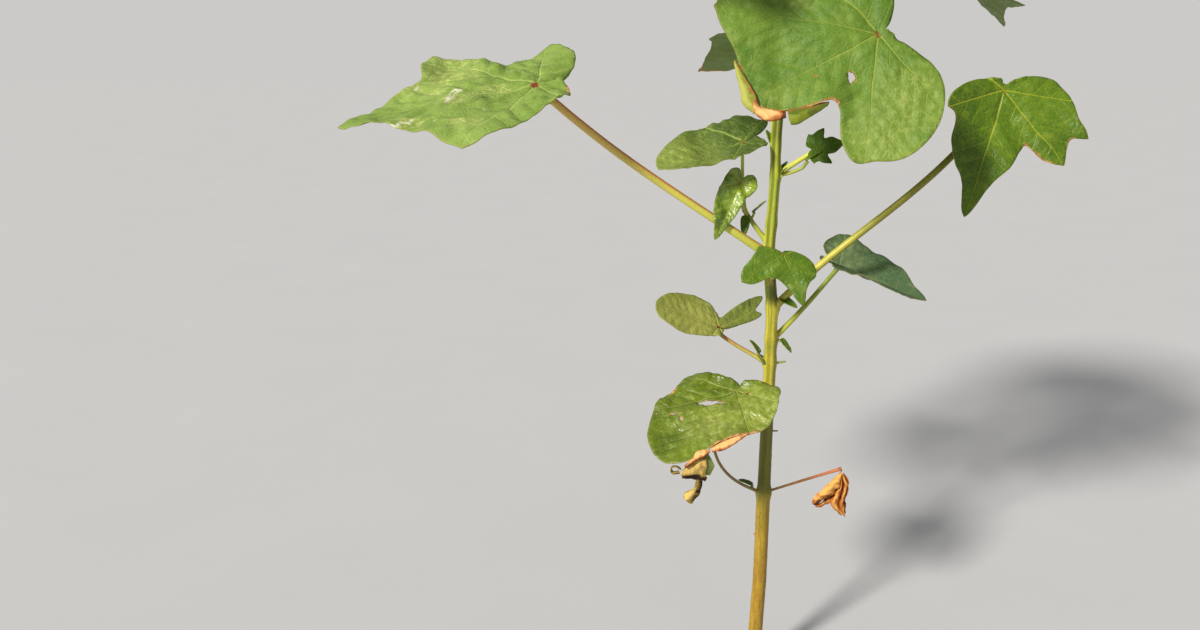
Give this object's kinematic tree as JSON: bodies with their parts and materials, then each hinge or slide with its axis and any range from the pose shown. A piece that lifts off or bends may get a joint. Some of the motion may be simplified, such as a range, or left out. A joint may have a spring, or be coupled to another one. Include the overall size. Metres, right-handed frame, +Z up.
{
  "type": "cotton plant",
  "caption": "Young field cotton plant: an upright tapering stem, low seed leaves, a side shoot and lobed leaves on long stalks up to the growing tip.",
  "frame": {"origin": "middle of the flat cut under the stem, at ground level", "axes": "+Z up along the stem, -Y towards the viewer of the picture, +X to the viewer's right"},
  "size_m": [0.3352, 0.2293, 0.4473],
  "materials": {
    "stem": "green to bronze bark with a soft sheen",
    "leaf": "matt green blade with paler veins",
    "young_leaf": "glossy fresh green",
    "dried_leaf": "dry, brown and papery"
  },
  "bodies": {
    "root": {"stem": "stem", "side_shoot_left": "stem", "seed_leaf_left": "leaf", "seed_leaf_right": "dried_leaf", "leaf_01_low_left": "leaf", "leaf_02_low_right": "leaf", "leaf_03_hanging_right": "leaf", "leaf_04_young_front": "young_leaf", "leaf_05_big_left": "leaf", "leaf_06_shoot_young": "young_leaf", "leaf_07_shoot_left": "leaf", "leaf_08_back": "leaf", "leaf_09_young_right": "young_leaf", "leaf_10_back": "leaf", "leaf_11_back_left": "leaf", "leaf_12_big_front": "leaf", "leaf_13_right": "leaf", "leaf_14_left": "leaf", "leaf_15_front_right": "leaf", "leaf_16_back": "leaf", "leaf_17_front_left": "leaf", "leaf_18_right": "leaf", "leaf_19_back_left": "leaf", "leaf_20_front": "young_leaf", "tip_leaves": "young_leaf"}
  },
  "joints": []
}
